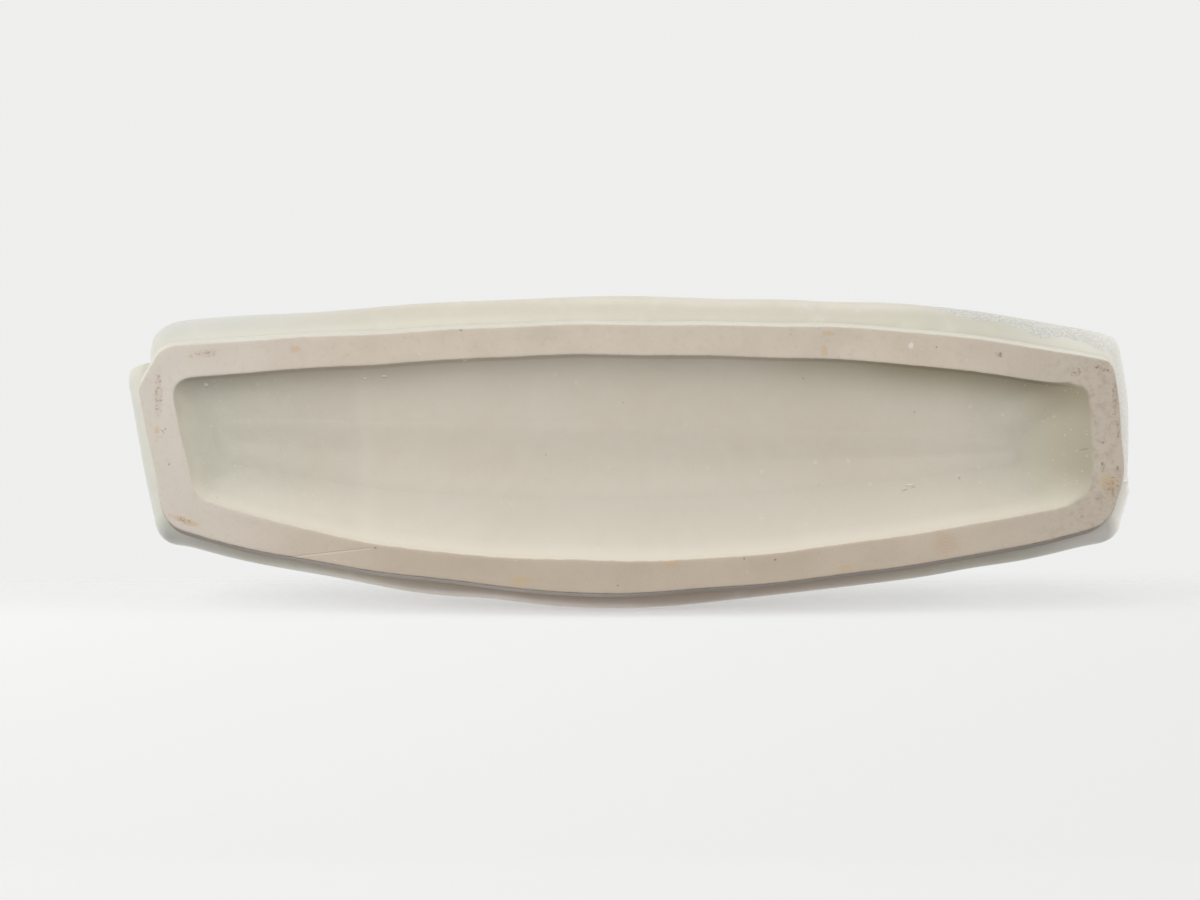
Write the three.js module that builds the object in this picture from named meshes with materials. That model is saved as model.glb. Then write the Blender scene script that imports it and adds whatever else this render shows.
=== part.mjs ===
// A slab-built stoneware vase: two wall slabs bent round a base slab and lapped at the two ends,
// standing on a foot of four mitred strips, with coils pressed into the inner joints.
// Millimetres, +Z up, the front wall on -Y. Every outline is a plan, seen from above and run
// anticlockwise, and every piece is a loft of such plans from one height to the next.
import * as THREE from 'three';

// Walls, seen from above at the belly, where they are widest
const leftEnd = 136.5; // middle of the vase to the left end, at its front corner
const leftSlant = 11.6; // the left end comes in by this much towards the back
const rightEnd = 132.3; // middle to the right end, at its seam
const rightSlant = 2.4; // the right end comes in by this much towards the front
const rightBow = 0.7; // and bulges by this much there
const seamSlant = 3.7; // behind its seam the right end comes in by this much
const frontDepth = 32.7; // middle to the front wall's right corner
const frontSkew = 2.8; // the front wall's left corner stands this much further out
const frontBow = 8.8; // the front wall's bulge past its corners
const frontCrest = 0.595; // where along the front wall its bulge is greatest
const backDepth = 23.7; // middle to the back wall's corners
const backBow = 18.2;
const backCrest = 0.52;
const frontLeftRound = 8.5; // how far before a corner its rounding starts
const frontRightRound = 5.5;
const backRightRound = 3.8;
const backLeftRound = 4.8;
const seamRound = 1.5;

// Walls, seen from the side
const height = 222.0; // table to rim
const wallThickness = 6.0;
const bellyHeight = 30.0; // lower edge of the walls to the belly
const toeBevel = 5.0; // how far the lower edge is bevelled back under the belly
const leanDepth = 12.0; // the front and back walls come in by this much at the rim
const leanEnds = 7.0; // the two ends come in by this much at the rim
const rimRound = 2.2;

// Lapped seams
const noseFromCorner = 14.8; // the back slab's left edge, measured from the left end's front corner
const leftLap = 14.7; // length of the front slab that the back slab covers
const noseRound = 3.7; // depth of the rounding at that edge
const noseLength = 4.8; // and its length along the left end
const seamFromMiddle = 6.6; // the right seam stands this far behind the middle
const seamProud = 0.9; // the back slab's edge stands proud of the front slab there
const seamScarf = 1.6; // the joint runs this much further back on the inside

// Base and foot
const baseThickness = 6.0;
const footHeight = 4.6;
const footFlare = 1.4; // the foot spreads by this much from the table to its top
const footEdge = 0.5; // rounding of the foot's lower edges
const frontOverhang = 9.9; // belly to foot, on each side
const backOverhang = 5.7;
const leftOverhang = 9.1;
const rightOverhang = 9.5;
const footSeamBulge = 0.8; // the foot stands this much further out at the right seam
const footFrontSkew = 1.2; // the foot's left front corner stands this much further out
const footFrontBow = 7.9;
const footFrontCrest = 0.6;
const footBackBow = 16.2;
const footBackCrest = 0.51;
const footCutEnd = 9.4; // the cut corner at the foot's front left, along the left end
const footCutFront = 7.6; // and along the front
const footRound = 5.0;
const footFrontWidth = 6.6;
const footBackWidth = 6.0;
const footLeftWidth = 8.6;
const footRightWidth = 7.8;
const recessFrontBow = 7.3;
const recessFrontCrest = 0.55;
const recessBackBow = 14.9;
const recessBackCrest = 0.545;
const recessRound = 5.0;
const coveFront = 12.0; // reach of the soft fillet that joins each strip to the recess
const coveBack = 12.0;
const coveLeft = 9.0;
const coveRight = 16.0;

// Coils in the inner joints
const coilSize = 5.0;
const seamCoilSize = 4.0;
const seamCoilBelowRim = 9.0;

const clearance = 0.3; // between neighbouring pieces
const bowSteps = 14;
const cornerSteps = 4; // even, so that a corner has a middle point

const glazed = new THREE.MeshStandardMaterial({ color: 0xdcdacb, roughness: 0.35, metalness: 0 });
const bare = new THREE.MeshStandardMaterial({ color: 0xcdc0b0, roughness: 0.9, metalness: 0 });

const wallFoot = footHeight + clearance; // lower edge of the walls and underside of the base
const baseTop = wallFoot + baseThickness;

// A corner of a plan: where its two sides meet, how far before it the rounding starts,
// and how far and where the side that follows it bulges.
function corner(x, y, round, bow = 0, crest = 0.5) {
  return { at: new THREE.Vector2(x, y), round, bow, crest };
}

const nextOf = (plan, i) => plan[(i + 1) % plan.length];
const lastOf = (plan, i) => plan[(i + plan.length - 1) % plan.length];
const directionOf = (plan, i) => nextOf(plan, i).at.clone().sub(plan[i].at).normalize();
const outwardOf = (direction) => new THREE.Vector2(direction.y, -direction.x);

// Where the line through p along u meets the line through q along v
function meet(p, u, q, v) {
  const gap = q.clone().sub(p);
  return p.clone().addScaledVector(u, gap.cross(v) / u.cross(v));
}

// The plan with each side moved inwards by its own distance, or all by the same one
function inset(plan, distance) {
  const distances = Array.isArray(distance) ? distance : plan.map(() => distance);
  return plan.map((old, i) => {
    const before = (i + plan.length - 1) % plan.length;
    const [u, v] = [directionOf(plan, before), directionOf(plan, i)];
    const p = lastOf(plan, i).at.clone().addScaledVector(outwardOf(u), -distances[before]);
    const q = old.at.clone().addScaledVector(outwardOf(v), -distances[i]);
    const round = Math.max(old.round - Math.max(distances[i], 0) / 2, old.round / 3);
    return { ...old, at: meet(p, u, q, v), round };
  });
}

// One side as a curve: a parabola that bulges outwards
function sideOf(from, to) {
  const chord = to.at.clone().sub(from.at);
  const control = from.at.clone().addScaledVector(chord, 2 * from.crest - 0.5);
  control.addScaledVector(outwardOf(chord.clone().normalize()), 2 * from.bow);
  return new THREE.QuadraticBezierCurve(from.at, control, to.at);
}

// Points along a run of corners, which may be open or closed. A corner without rounding is one
// point, no rounding takes more than its share of a side, and middles[i] is the index of the
// point in the middle of corner i.
const shareOfSide = 0.45;
function trace(corners, closed) {
  const sides = corners.map((from, i) => sideOf(from, nextOf(corners, i)));
  const lengths = corners.map((from, i) => from.at.distanceTo(nextOf(corners, i).at));
  const lengthBefore = (i) => lengths[(i + corners.length - 1) % corners.length];
  const rounds = corners.map((here, i) => {
    return Math.min(here.round, shareOfSide * Math.min(lengthBefore(i), lengths[i]));
  });
  const points = [];
  const middles = [];
  corners.forEach((here, i) => {
    const [before, after] = [(i + corners.length - 1) % corners.length, (i + 1) % corners.length];
    const t0 = rounds[i] / lengths[i];
    const t1 = 1 - rounds[after] / lengths[i];
    if (rounds[i] === 0) {
      middles.push(points.length);
      points.push(here.at.clone());
    } else {
      const start = sides[before].getPoint(1 - rounds[i] / lengths[before]);
      middles.push(points.length + cornerSteps / 2);
      const rounding = new THREE.QuadraticBezierCurve(start, here.at, sides[i].getPoint(t0));
      points.push(...rounding.getPoints(cornerSteps));
    }
    const last = !closed && i === corners.length - 1;
    const steps = here.bow > 2 ? bowSteps : 4;
    for (let k = 1; k < steps && !last; k++) {
      points.push(sides[i].getPoint(t0 + ((t1 - t0) * k) / steps));
    }
  });
  return { points, middles };
}

// A closed mesh through outlines of equal point counts, each at its own height, closed flat
// at the bottom and the top. Each quad is split along its shorter diagonal, so that the facing
// sides of two neighbours are split alike.
function loft(name, material, levels) {
  const count = levels[0].points.length;
  const corners = levels.flatMap(({ z, points }) => points.map((p) => new THREE.Vector3(p.x, p.y, z)));
  const faces = [];
  for (let level = 0; level + 1 < levels.length; level++) {
    for (let i = 0; i < count; i++) {
      const a = level * count + i;
      const b = level * count + ((i + 1) % count);
      const [c, d] = [b + count, a + count];
      const rising = corners[a].distanceTo(corners[c]) < corners[b].distanceTo(corners[d]);
      faces.push(...(rising ? [a, b, c, a, c, d] : [a, b, d, b, c, d]));
    }
  }
  const top = (levels.length - 1) * count;
  for (const [a, b, c] of THREE.ShapeUtils.triangulateShape(levels[0].points, [])) faces.push(a, c, b);
  for (const [a, b, c] of THREE.ShapeUtils.triangulateShape(levels.at(-1).points, [])) {
    faces.push(top + a, top + b, top + c);
  }
  const geometry = new THREE.BufferGeometry();
  const positions = corners.flatMap((p) => p.toArray());
  geometry.setAttribute('position', new THREE.Float32BufferAttribute(positions, 3));
  geometry.setIndex(faces);
  geometry.computeVertexNormals();
  const mesh = new THREE.Mesh(geometry, material);
  mesh.name = name;
  return mesh;
}

// How far the walls' outer face stands in from the belly plan at height z: bevelled at the lower
// edge and rounded at the rim
const bevelAt = (z) => toeBevel * Math.max(1 - (z - wallFoot) / bellyHeight, 0) ** 4;
const rimAt = (z) => rimRound * (1 - Math.sqrt(1 - Math.max((z - height) / rimRound + 1, 0) ** 2));

// The plan of the walls' outer face at height z, which is upright up to the belly and leans in
// above it
function bodyAt(z) {
  const belly = wallFoot + bellyHeight;
  const rise = (Math.max(z - belly, 0) / (height - belly)) ** 1.6;
  const [left, right] = [leftEnd - leanEnds * rise, rightEnd - leanEnds * rise];
  const [front, back] = [frontDepth - leanDepth * rise, backDepth - leanDepth * rise];
  return [
    corner(-left, -front - frontSkew, frontLeftRound, frontBow, frontCrest),
    corner(right - rightSlant, -front, frontRightRound, rightBow),
    corner(right, seamFromMiddle - leanDepth * rise, seamRound),
    corner(right - seamSlant, back, backRightRound, backBow, backCrest),
    corner(leftSlant - left, back, backLeftRound),
  ];
}
const bellyPlan = bodyAt(0);

// A point on the left end, measured along it from its front corner and inwards from its face
function onLeftEnd(z, along, distance) {
  const plan = bodyAt(z);
  const forward = directionOf(plan, 4);
  const point = plan[0].at.clone().addScaledVector(forward, -along);
  return point.addScaledVector(outwardOf(forward), -distance);
}

// Where the right seam meets a side of the plan, some distance in: side 1 is the one ahead of the
// seam, and side 2 the one behind it.
function onRightSeam(z, side, distance, back) {
  const plan = bodyAt(z);
  const along = directionOf(plan, side);
  const p = plan[2].at.clone().addScaledVector(outwardOf(along), -distance);
  const start = plan[2].at.clone().add(new THREE.Vector2(0, back));
  return meet(p, along, start, new THREE.Vector2(-wallThickness, seamScarf));
}

const end = (at) => ({ at, round: 0, bow: 0, crest: 0.5 });

// One face of the front slab: left end under the lap, front wall, right end up to its seam. Its
// end under the lap stands further in by a distance of its own, because it isn't bevelled.
function frontFace(z, distance, underLap = distance) {
  const lapped = wallThickness + clearance;
  const plan = inset(bodyAt(z), [distance, distance, distance, distance, distance + lapped]);
  const start = end(onLeftEnd(z, noseFromCorner + leftLap, underLap + lapped));
  return [start, plan[0], plan[1], end(onRightSeam(z, 1, distance, 0))];
}

// One face of the back slab: behind the right seam, back wall, left end up to a distance from
// the front corner
function backFace(z, distance, along, proud = 0) {
  const plan = inset(bodyAt(z), distance);
  const start = end(onRightSeam(z, 2, distance - proud, clearance));
  return [start, plan[3], plan[4], end(onLeftEnd(z, along, distance))];
}

// A slab's outline between its outer and inner faces
function between(outer, inner) {
  return [...trace(outer, false).points, ...trace(inner, false).points.reverse()];
}

const wallHeights = [
  ...[0, 0.03, 0.08, 0.15, 0.25, 0.4, 0.65, 1].map((share) => wallFoot + bellyHeight * share),
  ...[0.3, 0.55, 0.78].map((share) => THREE.MathUtils.lerp(wallFoot + bellyHeight, height, share)),
  height - seamCoilBelowRim,
  ...[1, 0.5, 0.13, 0].map((share) => height - rimRound * share),
];

function frontSlab() {
  const levels = wallHeights.map((z) => {
    const outer = frontFace(z, bevelAt(z) + rimAt(z), rimAt(z));
    return { z, points: between(outer, frontFace(z, wallThickness - rimAt(z))) };
  });
  return loft('front_wall_slab', glazed, levels);
}

// The back slab's left edge is rounded on both faces, as a pressed slab edge is.
function backSlab() {
  const levels = wallHeights.map((z) => {
    const out = bevelAt(z) + rimAt(z);
    const back = wallThickness - rimAt(z);
    const round = Math.min(noseRound, (back - out) / 1.6);
    const outer = backFace(z, out, noseFromCorner + noseLength, seamProud);
    const inner = backFace(z, back, noseFromCorner + round / 2);
    const nose = [
      onLeftEnd(z, noseFromCorner + noseLength * 0.3, out + round * 0.3),
      onLeftEnd(z, noseFromCorner, out + round),
      onLeftEnd(z, noseFromCorner, back - round / 2),
    ];
    const points = [...trace(outer, false).points, ...nose, ...trace(inner, false).points.reverse()];
    return { z, points };
  });
  return loft('back_wall_slab', glazed, levels);
}

// The base fills the walls' inside, and is stepped on the left round the front slab's end.
function baseSlab() {
  const distance = wallThickness + clearance;
  const lapped = distance + wallThickness + clearance;
  const step = noseFromCorner + leftLap + clearance;
  const levels = [wallFoot, baseTop].map((z) => {
    const inFront = inset(bodyAt(z), [distance, distance, distance, distance, lapped]);
    const inBack = inset(bodyAt(z), distance);
    const steps = [end(onLeftEnd(z, step, distance)), end(onLeftEnd(z, step, lapped))];
    return { z, points: trace([...inFront.slice(0, 3), ...inBack.slice(3), ...steps], true).points };
  });
  return loft('base_slab', glazed, levels);
}

// The foot's outline stands under the body plan by the overhangs, with its front left corner cut.
function footPlan(distance) {
  const overhangs = [frontOverhang, rightOverhang, rightOverhang, backOverhang, leftOverhang];
  const plan = inset(bellyPlan, overhangs.map((overhang) => overhang + distance));
  const [front, rightFront, seam, rightBack, back] = plan;
  const cutEnd = front.at.clone().addScaledVector(directionOf(plan, 4), -footCutEnd);
  const cutFront = front.at.clone().addScaledVector(directionOf(plan, 0), footCutFront);
  return [
    corner(cutFront.x, cutFront.y - footFrontSkew, footRound / 2, footFrontBow, footFrontCrest),
    { ...rightFront, round: footRound },
    corner(seam.at.x + footSeamBulge, seam.at.y, footRound / 2),
    { ...rightBack, round: footRound, bow: footBackBow, crest: footBackCrest },
    { ...back, round: footRound },
    corner(cutEnd.x, cutEnd.y, footRound / 4),
  ];
}

// The recess inside the foot, which a soft cove joins to the base
function recessPlan(reach) {
  const widths = [
    frontOverhang + footFrontWidth + coveFront * reach,
    rightOverhang + footRightWidth + coveRight * reach,
    rightOverhang + footRightWidth + coveRight * reach,
    backOverhang + footBackWidth + coveBack * reach,
    leftOverhang + footLeftWidth + coveLeft * reach,
  ];
  const [front, rightFront, , rightBack, back] = inset(bellyPlan, widths);
  return [
    { ...front, round: recessRound, bow: recessFrontBow, crest: recessFrontCrest },
    { ...rightFront, round: recessRound },
    { ...rightBack, round: recessRound, bow: recessBackBow, crest: recessBackCrest },
    { ...back, round: recessRound },
  ];
}

// The points of an outline from the middle of one corner to the middle of another, with the ends
// drawn back by half a clearance so that neighbouring strips don't touch
function stretch({ points, middles }, from, to) {
  const [start, stop] = [middles[from], middles[to]];
  const indices = start < stop
    ? points.slice(start, stop + 1)
    : [...points.slice(start), ...points.slice(0, stop + 1)];
  const run = indices.map((p) => p.clone());
  const drawBack = (point, towards) => {
    point.addScaledVector(towards.clone().sub(point).normalize(), clearance / 2);
  };
  drawBack(run[0], run[1]);
  drawBack(run.at(-1), run.at(-2));
  return run;
}

// A foot strip runs between two corners of the foot, mitred at both, and between the matching
// corners of the recess.
function footStrip(name, footCorners, recessCorners) {
  const shares = [0, 0.08, 0.3, 0.6, 0.8, 0.94, 1];
  const levels = shares.map((share) => {
    const edge = footEdge * Math.max(1 - (share * footHeight) / footEdge, 0) ** 2;
    const outer = trace(footPlan(edge - footFlare * share ** 2), true);
    const cove = (1 - Math.sqrt(1 - share ** 2)) - edge / coveFront;
    const inner = trace(recessPlan(cove), true);
    const points = [...stretch(outer, ...footCorners), ...stretch(inner, ...recessCorners).reverse()];
    return { z: footHeight * share, points };
  });
  return loft(name, bare, levels);
}

// A quarter-round coil in the joint between the base and one wall slab
function baseCoil(name, face) {
  const levels = [0, 0.35, 0.65, 0.88, 1].map((share) => {
    const z = baseTop + clearance + coilSize * share;
    const outside = wallThickness + clearance;
    const width = coilSize * Math.max(Math.sqrt(1 - share ** 2), 0.12);
    return { z, points: between(face(z, outside), face(z, outside + width)) };
  });
  return loft(name, glazed, levels);
}

// Upright coils that close the two seams on the inside
function seamCoils() {
  const bottom = baseTop + coilSize + 3 * clearance;
  const top = height - seamCoilBelowRim;
  const heights = [bottom, ...wallHeights.filter((z) => z > bottom && z <= top)];
  const left = heights.map((z) => {
    const along = noseFromCorner + leftLap + clearance;
    const deep = wallThickness + clearance;
    const size = seamCoilSize;
    const leg = [[0, 0], [0, size], [size * 0.5, size * 0.75], [size * 0.8, size * 0.4], [size, 0]];
    return { z, points: leg.map(([a, d]) => onLeftEnd(z, along + a, deep + d)) };
  });
  const right = heights.map((z) => {
    const deep = wallThickness + 2 * clearance;
    const [ahead, behind] = [1, 2].map((side) => directionOf(bodyAt(z), side));
    const seam = onRightSeam(z, 1, deep, 0);
    const step = onRightSeam(z, 2, deep, clearance);
    const crown = step.clone().addScaledVector(outwardOf(ahead), -seamCoilSize / 2);
    const points = [
      seam.clone().addScaledVector(ahead, -seamCoilSize),
      seam,
      step,
      step.clone().addScaledVector(behind, seamCoilSize),
      crown.clone().addScaledVector(behind, seamCoilSize / 2),
      crown.clone().addScaledVector(ahead, -seamCoilSize / 2),
    ];
    return { z, points };
  });
  return [loft('seam_coil_left', glazed, left), loft('seam_coil_right', glazed, right)];
}

const backCoilFace = (z, distance) => {
  return backFace(z, distance, noseFromCorner + leftLap + clearance);
};

const vase = new THREE.Group();
vase.add(
  baseSlab(),
  frontSlab(),
  backSlab(),
  footStrip('foot_strip_front', [0, 1], [0, 1]),
  footStrip('foot_strip_right', [1, 3], [1, 2]),
  footStrip('foot_strip_back', [3, 4], [2, 3]),
  footStrip('foot_strip_left', [4, 0], [3, 0]),
  baseCoil('base_coil_front', frontFace),
  baseCoil('base_coil_back', backCoilFace),
  ...seamCoils(),
);

// The origin is on the table, in the middle of the vase's length and depth.
const middle = new THREE.Box3().setFromObject(vase).getCenter(new THREE.Vector3());
vase.position.set(-middle.x, -middle.y, 0);

export default vase;
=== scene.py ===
import math

import bpy
import numpy as np
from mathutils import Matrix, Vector


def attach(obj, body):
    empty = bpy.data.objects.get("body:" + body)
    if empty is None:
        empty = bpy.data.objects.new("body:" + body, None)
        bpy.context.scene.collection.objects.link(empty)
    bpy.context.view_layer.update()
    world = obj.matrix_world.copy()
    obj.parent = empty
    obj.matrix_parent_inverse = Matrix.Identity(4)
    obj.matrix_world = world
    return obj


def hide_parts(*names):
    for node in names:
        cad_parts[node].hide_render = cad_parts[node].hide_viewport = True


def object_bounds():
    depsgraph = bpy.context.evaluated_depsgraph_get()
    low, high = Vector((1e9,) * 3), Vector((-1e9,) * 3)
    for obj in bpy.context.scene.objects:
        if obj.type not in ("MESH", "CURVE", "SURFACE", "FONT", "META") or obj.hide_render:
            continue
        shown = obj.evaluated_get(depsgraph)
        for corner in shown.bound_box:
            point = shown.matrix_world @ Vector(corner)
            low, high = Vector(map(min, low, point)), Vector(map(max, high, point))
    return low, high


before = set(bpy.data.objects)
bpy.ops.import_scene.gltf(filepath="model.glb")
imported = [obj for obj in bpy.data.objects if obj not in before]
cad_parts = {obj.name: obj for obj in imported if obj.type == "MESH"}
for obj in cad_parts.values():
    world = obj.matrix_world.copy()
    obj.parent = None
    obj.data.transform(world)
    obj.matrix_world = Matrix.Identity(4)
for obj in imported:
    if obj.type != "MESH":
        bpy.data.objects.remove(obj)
cad_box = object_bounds()

# Camera: square to the underside of the vase, which lies on its back, from a hand's length in
# front of the foot. Lengths in this script are millimetres until they go into Blender.
MM = 0.001


def add_object(name, data):
    thing = bpy.data.objects.new(name, data)
    bpy.context.scene.collection.objects.link(thing)
    return thing


camera_data = bpy.data.cameras.new("camera")
camera_data.sensor_width = 36.0
camera_data.lens = 27.0
camera_data.clip_start = 10 * MM
camera = add_object("camera", camera_data)
camera.location = (-7.84 * MM, -0.32 * MM, -225.0 * MM)
camera.rotation_euler = (math.pi, 0, 0)
bpy.context.scene.camera = camera


# Base slab: a rolled slab of stoneware cut to fill the inside of the walls and luted to them by
# its edge. Its underside is the glazed recess inside the foot, pressed to a shallow dish.
TO_FRAME = np.array([-0.239, 0.372])  # from the plans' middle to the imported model's
LEFT_END, LEFT_SLANT = 136.5, 11.6  # the plan's ends and depths, and how far its corners stand askew
RIGHT_END, RIGHT_SLANT, SEAM_SLANT, SEAM_Y = 132.3, 2.4, 3.7, 6.6
FRONT_DEPTH, FRONT_SKEW, BACK_DEPTH = 32.7, 2.8, 23.7
WALL_ROUNDS = np.array([8.5, 5.5, 1.5, 3.8, 4.8])  # at its corners, in the order of body_plan
WALL_BOWS = np.array([8.8, 0.7, 0.0, 18.2, 0.0])
WALL_CRESTS = np.array([0.595, 0.5, 0.5, 0.52, 0.5])
HEIGHT, BELLY = 222.0, 34.9
LEAN_DEPTH, LEAN_ENDS = 12.0, 7.0  # how far the walls and the ends lean in at the rim
WALL, GAP = 6.0, 0.3  # the slabs' thickness, and the gap that stands in for a luted joint
BASE_BOTTOM, BASE_TOP = 4.9, 10.9
UNDERCUT = 4.0  # the base's edge is cut back by this much underneath
NOSE, LEFT_LAP = 14.8, 14.7  # the back slab's left edge from the front corner, and its lap
OVERHANGS = np.array([9.9, 9.5, 9.5, 5.7, 9.1])  # belly to foot: front, right, seam, back, left
FOOT_WIDTHS = np.array([6.6, 7.8, 7.8, 6.0, 8.6])
COVES = np.array([10.0, 16.0, 16.0, 9.0, 6.0])
LIP_SKEW = np.array([0.8, 0.0, 0.0, -0.9])  # the recess's left corners stand this much nearer its middle
COVE_SKEW = np.array([-1.0, 3.0])  # the front cove is narrower on the left and wider on the right
COVE_SWELL = 6.0  # the front and back coves are this much wider in the middle
RECESS = 4.64  # depth of the recess where the foot's coves end
DISH, DISH_REACH = 0.55, 5.5  # its floor sinks by this much more, over this distance
RECESS_ROUNDS, RECESS_BOWS = np.array([5.0, 6.0, 7.0, 4.5]), np.array([7.3, 0.7, 15.5, 0.0])
RECESS_CRESTS = np.array([0.55, 0.5, 0.545, 0.5])
SEAM_LINE = np.array([-WALL, 1.6])  # the way the right seam runs through the wall
CORNER_STEPS = 24


def norm(v):
    return np.linalg.norm(v, axis=-1)


def unit(v):
    return v / norm(v)[..., None]


def smooth(t):
    """A soft step from 0 to 1: three times the square less twice the cube."""
    t = np.clip(t, 0, 1)
    return t * t * (3 - 2 * t)


def outward(direction):
    """A quarter turn to the right, which points out of an anticlockwise plan."""
    return np.stack([direction[..., 1], -direction[..., 0]], -1)


def meet(p, u, q, v):
    """Where the line through p along u meets the line through q along v."""
    def cross(a, b):
        return a[..., 0] * b[..., 1] - a[..., 1] * b[..., 0]
    return p + u * (cross(q - p, v) / cross(u, v))[..., None]


def body_plan(z):
    """Corners of the walls' outer face at heights z, from the front left one through the right
    seam to the back left one: upright to the belly, then leaning in by the rise above it to the
    power 1.6."""
    rise = (np.maximum(z - BELLY, 0) / (HEIGHT - BELLY)) ** 1.6
    left, right = LEFT_END - LEAN_ENDS * rise, RIGHT_END - LEAN_ENDS * rise
    front, back = FRONT_DEPTH - LEAN_DEPTH * rise, BACK_DEPTH - LEAN_DEPTH * rise
    x = [-left, right - RIGHT_SLANT, right, right - SEAM_SLANT, LEFT_SLANT - left]
    y = [-front - FRONT_SKEW, -front, SEAM_Y - LEAN_DEPTH * rise, back, back]
    return np.stack([np.stack(x, -1), np.stack(y, -1)], -1)


def inset(corners, distances):
    """Every side moved inwards by its own distance; sides run from their corner to the next."""
    distances = np.broadcast_to(distances, corners.shape[:2])
    along = unit(np.roll(corners, -1, 1) - corners)
    start = corners - outward(along) * distances[..., None]
    return meet(np.roll(start, 1, 1), np.roll(along, 1, 1), start, along)


def rounding(rounds, distances):
    """A corner's rounding shrinks by half the inset, but not below a third."""
    return np.maximum(rounds - np.maximum(distances, 0) / 2, rounds / 3)


def trace(corners, rounds, bows, crests, steps, closed=True):
    """Outlines through rows of corners. A side is a parabola whose control point stands twice
    its bow outwards from its chord. A corner is a cubic between the points where its rounding
    starts, tangent to both sides. Gives the points and each corner's middle column."""
    chord = np.roll(corners, -1, 1) - corners
    length = norm(chord)
    control = corners + chord * (2 * crests[:, None] - 0.5) + 2 * outward(unit(chord)) * bows[..., None]
    rounds = np.minimum(rounds, 0.45 * np.minimum(length, np.roll(length, 1, 1)))
    count = corners.shape[1]

    def side(i, t):
        t = t[..., None]
        a, c, b = corners[:, i, None], control[:, i, None], corners[:, (i + 1) % count, None]
        point = (1 - t) ** 2 * a + 2 * t * (1 - t) * c + t ** 2 * b
        return point, unit((1 - t) * (c - a) + t * (b - c))

    runs, middles = [], []
    for i in range(count):
        before, after = (i - 1) % count, (i + 1) % count
        t0 = (rounds[:, i] / length[:, i])[:, None]
        t1 = (1 - rounds[:, after] / length[:, i])[:, None]
        rounded = closed or 0 < i < count - 1
        middles.append(sum(run.shape[1] for run in runs) + rounded * CORNER_STEPS // 2)
        if rounded:
            p, u = side(before, (1 - rounds[:, i] / length[:, before])[:, None])
            q, v = side(i, t0)
            pull = (2 / 3 * rounds[:, i])[:, None, None]
            t = np.linspace(0, 1, CORNER_STEPS + 1)[:, None]
            runs.append((1 - t) ** 3 * p + 3 * t * (1 - t) ** 2 * (p + u * pull)
                        + 3 * t ** 2 * (1 - t) * (q - v * pull) + t ** 3 * q)
        else:
            runs.append(corners[:, i:i + 1])
        if closed or i < count - 1:
            runs.append(side(i, t0 + (t1 - t0) * np.linspace(0, 1, steps[i] + 1)[1:-1])[0])
    return np.concatenate(runs, 1), middles


def resample(points, count, even=True):
    """The same line through evenly spaced points, or through points that crowd at its ends."""
    at = np.concatenate([[0], np.cumsum(norm(np.diff(points, axis=0)))])
    share = np.linspace(0, 1, count)
    new = at[-1] * (share if even else (1 - np.cos(math.pi * share)) / 2)
    return np.stack([np.interp(new, at, points[:, k]) for k in range(points.shape[1])], -1)


def span(outline, start, stop, count, even=True):
    """The run of a closed outline between two of its points, resampled."""
    run = outline[start:stop + 1] if start < stop else np.concatenate([outline[start:], outline[:stop + 1]])
    return resample(run, count, even)


def on_left_end(z, along, distance):
    """A point on the left end, measured from its front corner and inwards from its face."""
    plan = body_plan(z)
    forward = unit(plan[:, 0] - plan[:, 4])
    along, distance = np.reshape(along, (-1, 1)), np.reshape(distance, (-1, 1))
    return plan[:, 0] - forward * along - outward(forward) * distance


def on_right_seam(z, side, distance, back):
    """Where the right seam's slanted line meets side 1 or 2 of the plan, some distance in."""
    plan = body_plan(z)
    along = unit(plan[:, side + 1] - plan[:, side])
    start = plan[:, 2] - outward(along) * np.reshape(distance, (-1, 1))
    return meet(start, along, plan[:, 2] + np.array([0, back]), np.broadcast_to(SEAM_LINE, start.shape))


def recess_plan(reach):
    """Outlines of the recess, from the foot's lip at reach 0 to the foot of the cove at 1."""
    reach = np.atleast_1d(reach)[:, None]
    belly = np.broadcast_to(body_plan(np.zeros(1)), (len(reach), 5, 2))
    plan = inset(belly, OVERHANGS + FOOT_WIDTHS + COVES * reach)[:, [0, 1, 3, 4]]
    plan[..., 1] += LIP_SKEW
    plan[:, :2, 1] += COVE_SKEW * reach
    bows = RECESS_BOWS - COVE_SWELL * reach * np.array([1, 0, 1, 0])
    return trace(plan, RECESS_ROUNDS, bows, RECESS_CRESTS, [240, 60, 240, 60])


def depth_inside(points, outline):
    """How far points lie inside an anticlockwise outline, 0 outside: measured square to the
    outline at its nearest point."""
    away = points[:, None] - outline[None]
    nearest = norm(away).argmin(1)
    normal = outward(unit(np.roll(outline, -1, 0) - np.roll(outline, 1, 0)))[nearest]
    return np.maximum(-(away[np.arange(len(points)), nearest] * normal).sum(-1), 0)


def lift(plan, z):
    """Plan points at their heights: one height, one for each row, or one for each point."""
    z = np.reshape(z, (-1, 1)) if np.ndim(z) < 2 else z
    return np.concatenate([plan, np.broadcast_to(z, plan.shape[:2])[..., None]], -1)


def paddle_waves(points):
    """Soft waves of hand-worked clay in mm, a sum of sines that run along slanted directions."""
    x, y, z = np.moveaxis(points, -1, 0)
    return (0.34 * np.sin(x / 15.5 + 0.9 * np.sin(z / 41) + 0.6) + 0.30 * np.sin(z / 19 + x / 61 + y / 35)
            + 0.26 * np.sin(x / 29 - z / 33 + 2.1) + 0.18 * np.sin(x / 8.3 + z / 27 + 1.0))


def grid_faces(rows, columns, ring):
    """Quads between neighbouring rows of points. A ring's last column joins its first."""
    row = np.arange(rows - 1)[:, None] * columns
    here = np.arange(columns if ring else columns - 1)[None, :]
    there = (here + 1) % columns
    return np.stack([row + here, row + there, row + columns + there, row + columns + here], -1).reshape(-1, 4)


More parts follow.
